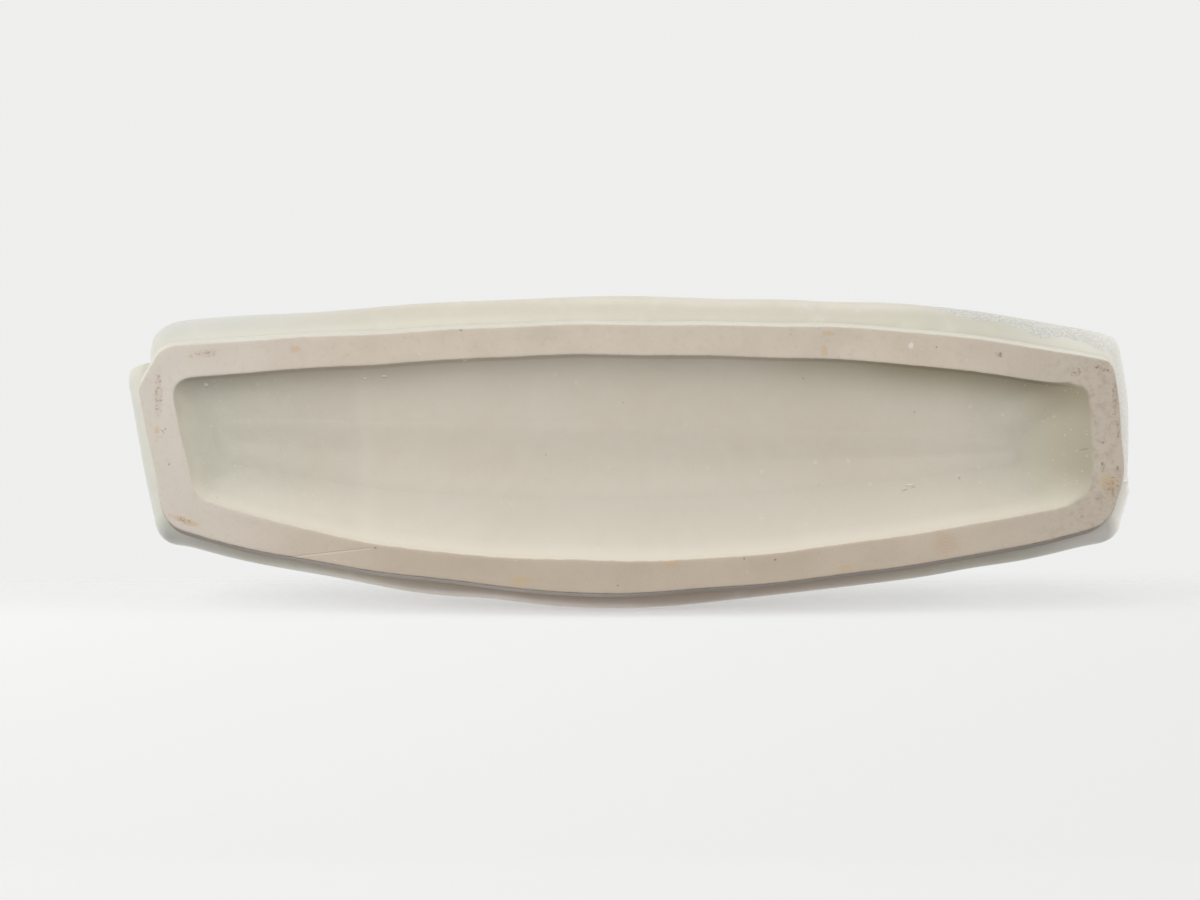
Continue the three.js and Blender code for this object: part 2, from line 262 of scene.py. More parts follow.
def between(lower, upper):
    """A closed body between two grids of points, the upper one facing up: both, and a wall round
    their edges."""
    rows, columns = lower.shape[:2]
    sheet, index = grid_faces(rows, columns, False), np.arange(rows * columns).reshape(rows, columns)
    rim = np.concatenate([index[0], index[1:, -1], index[-1, -2::-1], index[-2:0:-1, 0]])
    ahead = np.roll(rim, -1)
    wall = np.stack([rim, ahead, ahead + rows * columns, rim + rows * columns], -1)
    return (np.concatenate([lower.reshape(-1, 3), upper.reshape(-1, 3)]),
            np.concatenate([sheet[:, ::-1], sheet + rows * columns, wall]).tolist())


def make_piece(name, points, faces, material, **values):
    """A smooth-shaded mesh from points in mm about the plans' middle; stands for the node. Each
    further value is an array with a number for every point, which the material reads."""
    points = np.array(points, dtype=float).reshape(-1, 3)
    points[:, :2] += TO_FRAME
    mesh = bpy.data.meshes.new(name)
    mesh.from_pydata((points * MM).tolist(), [], faces)
    mesh.shade_smooth()
    mesh.set_sharp_from_angle(angle=math.radians(50))
    mesh.materials.append(material)
    for key, numbers in values.items():
        attribute = mesh.attributes.new(key, "FLOAT", "POINT")
        attribute.data.foreach_set("value", np.ravel(numbers).astype(np.float32))
    piece = add_object(name + "_clay", mesh)
    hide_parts(name)
    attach(piece, "root")
    return piece


def give(socket, value):
    """Link the value to the socket where it is another socket, or else set it."""
    if isinstance(value, bpy.types.NodeSocket):
        socket.id_data.links.new(value, socket)
    else:
        socket.default_value = value


def put(tree, kind, *values, output="first", **settings):
    """A node with its inputs set or linked in order. Gives its first output, the one that is
    named, or for None all of them."""
    node = tree.nodes.new("ShaderNode" + kind)
    for key, value in settings.items():
        setattr(node, key, value)
    for socket, value in zip([s for s in node.inputs if s.enabled], values):
        give(socket, value)
    if output is None:
        return node.outputs
    return [s for s in node.outputs if s.enabled and output in ("first", s.name)][0]


def blend(share, a, b, data_type="RGBA"):
    return put(share.id_data, "Mix", share, a, b, output="Result", data_type=data_type)


def calc(operation, *values):
    tree = next(value.id_data for value in values if isinstance(value, bpy.types.NodeSocket))
    return put(tree, "Math", *values, operation=operation)


def times(product, *others):
    """The product of one or more values."""
    for value in others:
        product = calc("MULTIPLY", product, value)
    return product


def linear(value, factor, term):
    """The value times the factor, plus the term."""
    return calc("MULTIPLY_ADD", value, factor, term)


def ramp(value, start, end, low=0.0, high=1.0):
    """A soft step of the value from start to end."""
    return put(value.id_data, "MapRange", value, start, end, low, high, interpolation_type="SMOOTHSTEP")


def place(tree):
    """The place on the object, in metres."""
    return put(tree, "TexCoord", output="Object")


def noise(where, scale, detail, roughness):
    return put(where.id_data, "TexNoise", where, scale, detail, roughness)


def on_points(tree, key):
    """The number that make_piece gave every point under this name."""
    return put(tree, "Attribute", attribute_name=key, output="Fac")


def millimetres(tree):
    """The place on the object in mm, as x, y and z."""
    scaled = put(tree, "VectorMath", place(tree), (1000, 1000, 1000), operation="MULTIPLY")
    return put(tree, "SeparateXYZ", scaled, output=None).values()


def srgb(*rgb):
    """A colour written as 0 to 255 screen values, as linear light."""
    c = np.array(rgb) / 255
    return (*np.where(c <= 0.04045, c / 12.92, ((c + 0.055) / 1.055) ** 2.4), 1.0)


def tint(color, rgb, *shares):
    """The colour, blended towards screen values by the product of the shares."""
    return blend(times(*shares), color, srgb(*rgb))


def new_group(name, inputs, outputs):
    """An empty node group with named sockets in and out: {name: kind}."""
    group = bpy.data.node_groups.new(name, "ShaderNodeTree")
    for in_out, sockets in (("INPUT", inputs), ("OUTPUT", outputs)):
        for key, kind in sockets.items():
            group.interface.new_socket(key, in_out=in_out, socket_type="NodeSocket" + kind)
    source, sink = group.nodes.new("NodeGroupInput"), group.nodes.new("NodeGroupOutput")
    return group, source.outputs, sink.inputs


def use_group(tree, group, **values):
    node = tree.nodes.new("ShaderNodeGroup")
    node.node_tree = group
    for key, value in values.items():
        give(node.inputs[key], value)
    return node.outputs


def make_specks():
    """Scattered round specks, a share of the cells of a Voronoi pattern: their mask, and the
    mask of the wider rings round them."""
    group, given, out = new_group("specks", {"Spacing": "Float", "Share": "Float", "Size": "Float"},
                                  {"Mask": "Float", "Ring": "Float"})
    cells = put(group, "TexVoronoi", place(group), given["Spacing"], output=None)
    drawn = put(group, "SeparateColor", cells["Color"], output=None)
    keep = calc("LESS_THAN", drawn["Red"], given["Share"])
    size = times(given["Size"], linear(drawn["Green"], 0.8, 0.4))
    near = ramp(cells["Distance"], size, times(size, 0.5))
    wide = ramp(cells["Distance"], times(size, 2.2), size)
    give(out["Mask"], times(near, keep))
    give(out["Ring"], times(wide, keep))
    return group


def make_patch():
    """A soft patch round a point in the plan: the ellipse of its half length and half width,
    sheared by its slope, whose edge wanders with the wobble."""
    keys = ("X", "Y", "Length", "Width", "Slope", "Wobble")
    group, given, out = new_group("patch", dict.fromkeys(keys, "Float"), {"Mask": "Float"})
    x, y = millimetres(group)[:2]
    dx = calc("SUBTRACT", x, given["X"])
    dy = calc("SUBTRACT", calc("SUBTRACT", y, given["Y"]), times(dx, given["Slope"]))
    along = calc("DIVIDE", dx, given["Length"])
    across = calc("DIVIDE", dy, given["Width"])
    square = calc("ADD", times(along, along), times(across, across))
    give(out["Mask"], ramp(calc("ADD", square, given["Wobble"]), 1.3, 0.1))
    return group


specks, patch = make_specks(), make_patch()


def patches(tree, wobble, places):
    """The strongest of several patches: (x, y, half length, half width), in mm, and a slope
    where it has one."""
    total = 0.0
    for x, y, length, width, *slope in places:
        one = use_group(tree, patch, X=x, Y=y, Length=length, Width=width,
                        Slope=slope[0] if slope else 0, Wobble=wobble)
        total = calc("MAXIMUM", one["Mask"], total)
    return total


def make_glaze():
    """Satin celadon: two tones in broad and fine clouds, a few iron specks, and pinholes with a
    pale ring. Height is in mm."""
    group, given, out = new_group("glaze", {"Pale": "Color", "Deep": "Color", "Contrast": "Float"},
                                  {"Color": "Color", "Clouds": "Float", "Height": "Float"})
    where = place(group)
    broad = noise(where, 30, 3, 0.55)
    fine = noise(where, 230, 4, 0.65)
    clouds = calc("ADD", times(broad, 0.6), times(fine, 0.4))
    share = put(group, "Clamp", linear(calc("SUBTRACT", clouds, 0.5), times(given["Contrast"], 6), 0.5))
    iron = use_group(group, specks, Spacing=230, Share=0.07, Size=0.10)
    pin = use_group(group, specks, Spacing=360, Share=0.08, Size=0.12)
    color = blend(share, given["Pale"], given["Deep"])
    color = tint(color, (118, 100, 78), iron["Mask"], 0.5)
    color = tint(color, (236, 232, 222), pin["Ring"], 0.22)
    peel = noise(where, 650, 2, 0.5)
    swell = noise(where, 110, 2, 0.5)
    height = calc("ADD", times(peel, 0.05), times(swell, 0.22))
    give(out["Color"], color)
    give(out["Clouds"], share)
    give(out["Height"], calc("SUBTRACT", height, times(pin["Mask"], 0.10)))
    return group


glaze = make_glaze()


def finish(material, color, rough, height):
    """The surface as it is fired: colour, roughness, and a bump whose height is in mm."""
    tree, shader = material.node_tree, material.node_tree.nodes["Principled BSDF"]
    bump = tree.nodes.new("ShaderNodeBump")
    bump.inputs["Strength"].default_value = 0.6
    bump.inputs["Distance"].default_value = MM
    give(bump.inputs["Height"], height)
    give(shader.inputs["Normal"], bump.outputs["Normal"])
    give(shader.inputs["Base Color"], color)
    give(shader.inputs["Roughness"], rough)
    shader.inputs["Specular IOR Level"].default_value = 0.4


def new_material(name):
    material = bpy.data.materials.new(name)
    material.use_nodes = True
    return material, material.node_tree


def recess_color(tree):
    """The recess's glaze: cream in the middle, a shade greener past two soft lines where it was
    dipped twice, more so towards both ends, and beige near the right lip. Painted light
    lightens the back half and its cove, painted shade darkens the front cove, and the beads'
    glints are painted."""
    x, y, z = millimetres(tree)
    where = place(tree)
    wander = noise(where, 60, 3, 0.6)
    x = calc("ADD", x, linear(wander, 6, -3))
    dipped = calc("MAXIMUM", ramp(x, -67.5, -71.5), ramp(x, 83.5, 87.5))
    ends = calc("MAXIMUM", ramp(x, -60, -112), ramp(x, 70, 116))
    share = linear(dipped, 0.22, times(ends, 0.65))
    cream = use_group(tree, glaze, Pale=srgb(215, 206, 191), Deep=srgb(206, 196, 180), Contrast=0.3)
    green = use_group(tree, glaze, Pale=srgb(206, 202, 187), Deep=srgb(192, 189, 173), Contrast=0.45)
    color = blend(share, cream["Color"], green["Color"])
    color = tint(color, (184, 177, 155), ramp(x, 94, 110))
    tide = times(ramp(x, -70.5, -68), ramp(x, -64.8, -67))
    color = tint(color, (222, 216, 201), tide, 0.10)
    in_cove = ramp(z, 4.6, 0.8)
    # Painted light: the back half of the recess is lightened, most in its cove, which faces the light.
    back_cove_painted_light = calc("MAXIMUM", times(in_cove, 0.55), 0.22)
    color = tint(color, (236, 229, 214), back_cove_painted_light, ramp(y, 3, 14))
    # Painted shade: the front cove is darkened under the lip, most towards the right.
    thin = times(in_cove, ramp(y, -6, -16), ramp(x, 20, 75, 0.25, 0.92))
    color = tint(color, (160, 149, 127), thin)
    sugar = use_group(tree, specks, Spacing=800, Share=0.45, Size=0.24)
    crystals = times(linear(share, 0.7, 0.15), sugar["Mask"])
    color = tint(color, (230, 227, 215), crystals, 0.45)
    wobble = linear(noise(where, 700, 2, 0.6), 2.6, -1.3)
    dark = patches(tree, wobble, [
        (69.9, 9.9, 0.9, 0.22, -0.3), (72, 9.2, 0.7, 0.25, -0.3), (83.8, 6.8, 0.35, 0.45),
        (72.2, -9.9, 0.3, 0.3), (113.2, -0.5, 1.5, 0.28, -0.2), (-2, -12.4, 0.3, 0.3)])
    color = tint(color, (140, 130, 108), dark, 0.4)
    # Raised beads of glaze, whose near-white colour is a painted highlight.
    beads_and_painted_glints = patches(tree, 0, [
        (-107.3, -16.7, 0.55, 0.55), (-41.6, -22.8, 0.6, 0.5), (-67.3, -18.3, 0.4, 0.3),
        (71.2, 8.6, 1.1, 0.3, -0.1), (-62.3, -18.9, 0.8, 0.25)])
    color = tint(color, (236, 234, 226), beads_and_painted_glints, 0.7)
    return color, cream["Clouds"], linear(beads_and_painted_glints, 0.35, cream["Height"])


recess_glaze, tree = new_material("recess_glaze")
color, clouds, height = recess_color(tree)
finish(recess_glaze, color, linear(clouds, 0.15, 0.42), height)

z_pair = np.array([BASE_BOTTOM, BASE_TOP])
edge = WALL + GAP + np.array([UNDERCUT, 0])
lapped = edge + WALL + GAP
in_front = inset(body_plan(z_pair), np.stack([edge] * 4 + [lapped], -1))
in_back = inset(body_plan(z_pair), edge[:, None])
notch = NOSE + LEFT_LAP + GAP
base_corners = np.concatenate([in_front[:, :3], in_back[:, 3:], on_left_end(z_pair, notch, edge)[:, None],
                               on_left_end(z_pair, notch, lapped)[:, None]], 1)
base_rounds = np.append(rounding(WALL_ROUNDS, WALL + GAP), [0.4, 0.4])
base_outlines, at = trace(base_corners, base_rounds, np.append(WALL_BOWS, [0.0, 0.0]),
                          np.append(WALL_CRESTS, [0.5, 0.5]), [120, 12, 12, 120, 12, 6, 12])
ACROSS, ALONG = 81, 261
u, v = np.linspace(0, 1, ALONG)[None, :, None], np.linspace(0, 1, ACROSS)[:, None, None]


def fill(outline):
    """Points over an outline of four sides: each side drawn out towards the one across from it,
    the two pairs added and the corners' share taken away."""
    front, right = span(outline, at[0], at[1], ALONG), span(outline, at[1], at[3], ACROSS)
    back = span(outline, at[3], at[4], ALONG)[::-1]
    left = span(outline, at[4], at[0], ACROSS)[::-1]
    return ((1 - v) * front + v * back + (1 - u) * left[:, None] + u * right[:, None]
            - (1 - u) * (1 - v) * front[0] - u * (1 - v) * front[-1]
            - (1 - u) * v * back[0] - u * v * back[-1])


plate, top_plate = fill(base_outlines[0]), fill(base_outlines[1])
to_edge = np.minimum(np.minimum(u, 1 - u) * ALONG, np.minimum(v, 1 - v) * ACROSS)[..., 0]
to_cove = depth_inside(plate.reshape(-1, 2), recess_plan(1)[0][0]).reshape(plate.shape[:2])
# The underside's height: the slab's own at its edge, the recess's within, and past the coves the
# dish, with faint waves.
under = (RECESS + (BASE_BOTTOM - RECESS) * np.clip(1 - to_edge / 6, 0, 1)
         + DISH * (1 - np.exp(-(to_cove / DISH_REACH) ** 2))
         + 0.05 * paddle_waves(lift(plate, 0) * 1.4) * smooth(to_cove / 9))
base = make_piece("base_slab", *between(lift(plate, under), lift(top_plate, BASE_TOP)), recess_glaze)


# Front wall slab: one rolled slab, bent from under the left lap round the wide front corner, along
# the bowed front and up the right end to its seam. Luted to the base; satin celadon all over, with
# a torn, crystalline patch low on the right, where the glaze was laid on thick.
TOE, TOE_TUCK, TOE_RISE = 4.66, 9.0, 3.2  # lower edge: its height, inset, and how fast it rounds out
RIM_ROUND, RIM_THICKNESS = 3.0, 0.8
TORN_LEFT, TORN_TOP = 74.0, 52.0  # where the torn patch starts, and how far up it reaches
PRESSED = [  # where a hand pressed the walls: x, y, reach, and how far out the clay stands
    (-129, 5, 13, 0.4), (-128, -27.5, 4.5, -1.2), (131.8, 5, 3, -0.3), (-131, -37, 8, -1.3),
    (-84, -42, 20, -0.7), (24, -42, 24, -1.0), (54, -41, 11, -0.6), (112, -35, 20, -1.1),
    (131, -34, 6, -0.7), (132, -14, 10, 0.6), (-78, 35, 24, -1.2), (-38, 41, 13, -0.9),
    (46, 40, 34, -1.4), (92, 32, 10, -0.5), (128, 25, 6, 0.7), (-122, 24.5, 4, 0.8)]


def toe_inset(z):
    """How far the outer face stands in from the belly: the tuck, dying away with the height
    above the lower edge as a stretched exponential."""
    return TOE_TUCK * np.exp(-(np.maximum(z - TOE, 0) / TOE_RISE) ** 0.8)


wall_z = np.concatenate([TOE + (BELLY - TOE) * np.linspace(0, 1, 30) ** 2.0,
                         np.linspace(BELLY, HEIGHT - RIM_ROUND, 66)[1:]])
turn = np.radians(np.linspace(0, 84, 10))[1:]
wall_out = np.concatenate([toe_inset(wall_z), RIM_ROUND * (1 - np.cos(turn))])
wall_in = WALL - RIM_ROUND * np.concatenate([np.zeros(len(wall_z)), 1 - np.cos(turn)])
wall_in = np.maximum(wall_in, wall_out + RIM_THICKNESS)
wall_z = np.concatenate([wall_z, HEIGHT - RIM_ROUND * (1 - np.sin(turn))])
inner_z = wall_z + 0.3 * np.clip((24 - wall_z) / 19, 0, 1)  # the lower edge rises inwards


def wall_face(start, plan, first, stop, distance, steps):
    """An open outline from start to stop round two corners of the plan, the first and the next."""
    pair = slice(first, first + 2)
    corners = np.stack([start, plan[:, first], plan[:, first + 1], stop], 1)
    rounds = np.pad(rounding(WALL_ROUNDS[pair], distance[:, None]), ((0, 0), (1, 1)))
    bows, crests = np.pad(WALL_BOWS[pair], 1), np.pad(WALL_CRESTS[pair], 1, constant_values=0.5)
    return trace(corners, rounds, bows, crests, steps, closed=False)[0]


def front_face(z, distance):
    """The front slab's face: an end under the lap, two rounded corners and the seam's edge."""
    distance = np.broadcast_to(distance, z.shape)
    distances = np.stack([distance] * 4 + [distance + WALL + GAP], -1)
    plan = inset(body_plan(z), distances)
    start = on_left_end(z, NOSE + LEFT_LAP, distance + WALL + GAP)
    stop = on_right_seam(z, 1, distance, 0)
    return wall_face(start, plan, 0, stop, distance, [16, 300, 40, 0])


def wall_mesh(outer, inner):
    """A slab from its outer and inner faces, both (levels, columns, 3), closed round its edges
    and folded shut along its foot and its rim."""
    ring = np.concatenate([outer, inner[:, ::-1]], 1)
    rows, columns = ring.shape[:2]
    i = np.arange(columns // 2 - 1)
    fold = np.stack([i, i + 1, columns - 2 - i, columns - 1 - i], -1)
    faces = np.concatenate([grid_faces(rows, columns, True), fold[:, ::-1], fold + (rows - 1) * columns])
    return ring, faces.tolist()


def torn(points):
    """Where the torn patch is, 0 to 1: to the right of its left edge, above a line that comes
    down to the right, and fading out up the wall."""
    x, z = points[..., 0], points[..., 2]
    lower_edge = 5.2 + 4.0 * np.exp(-np.maximum(x - TORN_LEFT, 0) / 14) + 0.5 * np.sin(x / 2.9)
    return (smooth((x - TORN_LEFT - 2.5 * np.sin(z / 5)) / 5) * smooth((z - lower_edge) / 1.2)
            * smooth((TORN_TOP + 8 * np.sin(x / 9) - z) / 30))


def crumbs(points):
    """Crystalline roughness in mm: crossed waves of about three millimetres, bent by each other."""
    x, y, z = np.moveaxis(points, -1, 0)
    return np.sin(x * 2.3 + y * 1.7 + 1.3 * np.sin(z * 1.9)) * np.sin(z * 2.6 - y + 1.2 * np.sin(x * 1.3))


def work_by_hand(face, outer_line, tear=0.0):
    """The face with the waves of hand work along its outline's normal, growing with height, the
    bell-shaped swells and dents where a hand pressed it low down, and the rim worn uneven by up
    to two millimetres. Torn clay stands in a little and is rough."""
    along = np.gradient(outer_line, axis=1)
    normal = outward(unit(along[..., :2]))
    z = face[..., 2]
    share = (0.45 + 0.7 * np.clip(z / HEIGHT, 0, 1)) * np.clip((z - 5) / 5, 0, 1)
    offset = paddle_waves(outer_line) * share + tear * torn(outer_line) * (0.035 * crumbs(outer_line) - 0.12)
    for x, y, reach, rise in PRESSED:
        away = (outer_line[..., 0] - x) ** 2 + (outer_line[..., 1] - y) ** 2
        offset += rise * np.exp(-away / reach ** 2) * smooth((110 - z) / 60)
    face = face.copy()
    face[..., :2] += normal * offset[..., None]
    worn = 1.0 + 0.5 * np.sin(face[..., 0] / 38 + 0.7) + 0.35 * np.sin(face[..., 0] / 17 + face[..., 1] / 20)
    face[..., 2] = z - worn * (z / HEIGHT) ** 3
    return face


def make_celadon():
    """The walls' glaze: pale celadon, greener where it pooled over the foot, warm where it runs
    thinly along the edges that a value on the points marks, matt and crystalline where the torn
    value is high. Painted shade darkens the low back, the joint over the foot and the right
    side, painted light whitens the right end, and the bubbles' glints are painted."""
    material, tree = new_material("celadon_glaze")
    x, y, z = millimetres(tree)
    thin = on_points(tree, "thin")
    where = place(tree)
    ragged = noise(where, 150, 4, 0.65)
    tear = on_points(tree, "torn")
    tear = ramp(linear(ragged, 1.6, tear), 1, 1.4)
    body = use_group(tree, glaze, Pale=srgb(220, 213, 197), Deep=srgb(205, 199, 182), Contrast=0.32)
    far_out = ramp(calc("ABSOLUTE", x), 55, 115, 0, 0.85)
    high_up = ramp(z, 20, 120, 0, 0.7)
    # Past the warm middle the glaze is a greyer green. Its darkening towards the right is painted shade, and
    # its near-white right end is painted light.
    ends = blend(ramp(x, -60, 60), srgb(211, 212, 205), srgb(198, 197, 185))
    ends = tint(ends, (246, 244, 237), ramp(x, 90, 124))
    ends = tint(ends, (214, 213, 201), high_up)
    color = blend(calc("MAXIMUM", far_out, high_up), body["Color"], ends)
    # Painted shade: low on the back the glaze is darker and browner, most near the middle. Over the foot at
    # the front it is greener where it pooled.
    behind = ramp(y, 18, 36)
    far_along = ramp(calc("ABSOLUTE", x), 30, 95)
    at_back = blend(far_along, srgb(200, 180, 162), srgb(206, 196, 173))
    pooled_glaze_and_painted_shade = blend(behind, srgb(213, 210, 194), at_back)
    color = blend(times(ramp(z, 8, 5.2), 0.5), color, pooled_glaze_and_painted_shade)
    color = blend(times(ramp(z, 26, 12), behind), color, at_back)
    # Painted shade: the joint over the foot is darkened, faintly at the front and deeply at the back.
    color = tint(color, (128, 112, 98), ramp(z, 5.3, 4.8), ramp(y, 0, 20, 0.05, 0.85))
    upright = put(tree, "Mapping", where, (0, 0, 0), (0, 0, 0), (1, 1, 0.12))
    runs = noise(upright, 120, 3, 0.6)
    color = tint(color, (228, 226, 214), ramp(runs, 0.5, 0.8, 0, 0.35))
    worn = noise(where, 260, 3, 0.65)
    color = tint(color, (218, 215, 202), thin, ramp(worn, 0.3, 0.65, 0.25, 0.85))
    grain = noise(where, 1500, 3, 0.7)
    flecks = blend(ramp(grain, 0.35, 0.65), srgb(191, 191, 184), srgb(224, 223, 217))
    # Painted light: the torn patch is whitened towards the right end.
    flecks = tint(flecks, (243, 241, 234), ramp(x, 116, 130, 0, 0.55))
    color = blend(times(tear, 0.75), color, flecks)
    # Raised glassy bubbles, whose bright colour is a painted highlight.
    froth = use_group(tree, specks, Spacing=850, Share=0.5, Size=0.3)
    bubbles_and_painted_glints = patches(tree, 0, [(-114, -40, 6, 9), (-96, -42, 5, 9)])
    bubbles_and_painted_glints = times(bubbles_and_painted_glints, froth["Mask"], ramp(z, 30, 18))
    color = tint(color, (238, 238, 234), bubbles_and_painted_glints, 0.6)
    rough = linear(body["Clouds"], 0.12, 0.29)
    rough = linear(tear, 0.35, rough)
    height = calc("ADD", body["Height"], times(grain, tear, 0.20))
    height = linear(bubbles_and_painted_glints, 0.15, height)
    finish(material, color, rough, height)
    return material


celadon = make_celadon()
outer_line = lift(front_face(wall_z, wall_out), wall_z)
inner_line = lift(front_face(wall_z, wall_in), inner_z)
outer, inner = work_by_hand(outer_line, outer_line, tear=1.0), work_by_hand(inner_line, outer_line)
ring, faces = wall_mesh(outer, inner)
rim_share = smooth((wall_z - HEIGHT + 2.6) / 2.2)[:, None]
torn_share = np.concatenate([torn(outer_line), np.zeros(inner_line.shape[:2])], 1)
front_wall = make_piece("front_wall_slab", ring, faces, celadon, thin=rim_share + 0 * torn_share,
                        torn=torn_share)


# Back wall slab: the second rolled slab, from the right seam, where its edge stands proud, round
# the bowed back and up the left end, where its rounded edge laps over the front slab.
NOSE_LENGTH, NOSE_DEPTH = 4.8, 3.8  # the rounding of the lap's edge, along the wall and into it
PROUD, SEAM_ROUND, SEAM_DEPTH = 1.4, 3.4, 1.2  # the seam's edge: how far out, and its own rounding
LUTED = 0.3  # the two edges are smeared into each other by this much


def back_face(z, distance, along, proud):
    """The back slab's face: the seam's edge, two rounded corners and the end of the lap."""
    distance = np.broadcast_to(distance, z.shape)
    plan = inset(body_plan(z), np.stack([distance] * 5, -1))
    start = on_right_seam(z, 2, distance - proud, -LUTED)
    stop = on_left_end(z, along, distance)
    return wall_face(start, plan, 3, stop, distance, [50, 300, 60, 0])


def turned_edge(corner, along, inwards, length, depth):
    """A rounded edge: quarter ellipses about points that lie back along both faces."""
    depth = np.reshape(depth, (-1, 1))
    return np.stack([corner + along * (length * (1 - math.sin(a))) + inwards * (depth * (1 - math.cos(a)))
                     for a in np.radians(np.linspace(0, 90, 14)[1:])], 1)


plan = body_plan(wall_z)
forward = unit(plan[:, 0] - plan[:, 4])
deep = np.clip((wall_in - wall_out) * 0.6, 1.4, NOSE_DEPTH)
outer_plan = back_face(wall_z, wall_out, NOSE + NOSE_LENGTH, PROUD)
lap_in = np.where(wall_z < BELLY, WALL + wall_out, wall_in)
plain = back_face(wall_z, wall_in, NOSE + 1.0, 0.0)
over_lap = back_face(wall_z, lap_in, NOSE + 1.0, 0.0)
from_corner = norm(plain - plan[:, None, 0])
on_lap = smooth((NOSE + LEFT_LAP + 1.5 - from_corner) / 4) * (plain[..., 0] < 0)
inner_plan = plain + (over_lap - plain) * on_lap[..., None]
nose = turned_edge(on_left_end(wall_z, NOSE, wall_out), -forward, -outward(forward), NOSE_LENGTH, deep)
tuck = turned_edge(on_left_end(wall_z, NOSE, lap_in), -forward, outward(forward), 1.0, 0.8)
from_seam = norm(outer_plan - outer_plan[:, :1])
sunk = SEAM_DEPTH * (1 - smooth(from_seam / SEAM_ROUND)) * smooth((wall_in - wall_out - 0.5) / 2)[:, None]
outer_plan = outer_plan + unit(SEAM_LINE) * sunk[..., None]
outer_line = lift(np.concatenate([outer_plan, nose], 1), wall_z)
inner_line = lift(np.concatenate([inner_plan, tuck], 1), inner_z)
outer, inner = work_by_hand(outer_line, outer_line), work_by_hand(inner_line, outer_line)
ring, faces = wall_mesh(outer, inner)
columns = outer_line.shape[1]
edge_share = smooth((np.arange(columns) - columns + 26) / 12) * smooth((columns - np.arange(columns)) / 4)
thin = np.concatenate([np.maximum(rim_share, edge_share), rim_share + 0 * edge_share], 1)
back_wall = make_piece("back_wall_slab", ring, faces, celadon, thin=thin)


# Base coils: soft ropes of clay pressed with a fingertip into the joint of the base and each wall
# slab, glazed with the inside.
COIL, COIL_GAP = 5.0, 0.1  # a coil's size, and its distance from the clay it is pressed on


def base_coil(name, face):
    """A quarter-round coil: its back follows the wall's face and its front is a quarter circle."""
    share = np.linspace(0, 1, 12)
    z = BASE_TOP + COIL_GAP + COIL * share
    width = COIL * np.maximum(np.sqrt(1 - share ** 2), 0.06)
    wall_side = lift(face(z, WALL + COIL_GAP), z)
    room_side = lift(face(z, WALL + COIL_GAP + width), z)
    press = 0.35 * np.sin(room_side[..., 0] / 3.3) * np.sin(math.pi * share)[:, None] ** 0.5
    room_side[..., 1] += press * np.sign(room_side[..., 1])
    piece = make_piece(name, *wall_mesh(wall_side, room_side), celadon)


base_coil("base_coil_front", front_face)
base_coil("base_coil_back", lambda z, distance: back_face(z, distance, NOSE + LEFT_LAP + GAP, 0.0))


# Seam coils: upright coils of clay pressed up the inside of the two wall seams, smoothed at their
# edges and drawn out thin at their tops, glazed with the inside.
SEAM_COIL, DRAWN_OUT = 4.0, 22.0  # its reach, and the height over which its top thins away
BELOW_RIM, SEAM_GAP = 9.0, 0.5  # where the coils stop, and how far the right one is from the walls
seam_z = np.linspace(BASE_TOP + COIL + 0.9, HEIGHT - BELOW_RIM, 60)
bend = np.radians(np.linspace(0, 90, 9))
drawn_out = np.sqrt(np.clip((seam_z[-1] - seam_z) / DRAWN_OUT, 0.004, 1))
size = SEAM_COIL * (0.9 + 0.1 * np.sin(seam_z / 4.1)) * drawn_out
left_coil = np.stack([on_left_end(seam_z, NOSE + LEFT_LAP + COIL_GAP, WALL + COIL_GAP)]
                     + [on_left_end(seam_z, NOSE + LEFT_LAP + COIL_GAP + size * math.sin(a),
                                    WALL + COIL_GAP + size * math.cos(a)) for a in bend], 1)
plan = body_plan(seam_z)
ahead, behind = unit(plan[:, 2] - plan[:, 1]), unit(plan[:, 3] - plan[:, 2])
seam = on_right_seam(seam_z, 1, WALL + SEAM_GAP, 0)
step_point = on_right_seam(seam_z, 2, WALL + SEAM_GAP, GAP)
share = np.linspace(0, 1, 12)[:, None, None]
far, near = seam - ahead * size[:, None], step_point + behind * size[:, None]
crown = (far + near) / 2 - outward(ahead) * size[:, None]
crest = (1 - share) ** 2 * near + 2 * share * (1 - share) * crown + share ** 2 * far
right_coil = np.stack([seam, step_point, *crest], 1)
for name, outline in (("seam_coil_left", left_coil), ("seam_coil_right", right_coil)):
    points = lift(outline, seam_z)
    rows, columns = points.shape[:2]
    ends = [list(range(columns))[::-1], list(range((rows - 1) * columns, rows * columns))]
    piece = make_piece(name, points, grid_faces(rows, columns, True).tolist() + ends, celadon)


# Foot: four strips of clay mitred and luted under the base, trimmed to a cut corner at the front
# left and wiped bare of glaze where they stand. Inside, the glaze runs down them from the recess.
FOOT_HEIGHT, FOOT_FLARE, FOOT_EDGE = 4.6, 1.4, 0.6  # it widens towards the base, with a round edge
CUT_END, CUT_FRONT, CUT_TURN = 9.4, 7.6, 1.2  # the cut corner: along each side, and turned forward
FOOT_ROUNDS, FOOT_BOWS = np.array([2.5, 5.0, 2.5, 5.0, 5.0, 1.25]), np.array([7.9, 0.7, 0, 16.2, 0, 0])
FOOT_CRESTS = np.array([0.6, 0.5, 0.5, 0.51, 0.5, 0.5])
SEAM_CORNER = 0.8  # how far the foot stands out at the seam
LIP_DROP, LIP_RUN, LIP_SOFT = 0.5, 0.8, 0.25  # the lip's steep part: depth, run, and rounding
SMOOTHED_SOFT = 1.0  # the rounding at the right end, where a finger smoothed the steep part away
SMOOTHED_FROM, SMOOTHED_OVER = 101.0, 17.0  # where that starts, and how far on it is complete
COVE_CURL = 3.0  # how much steeper the cove is at the lip than at its foot, as a natural logarithm
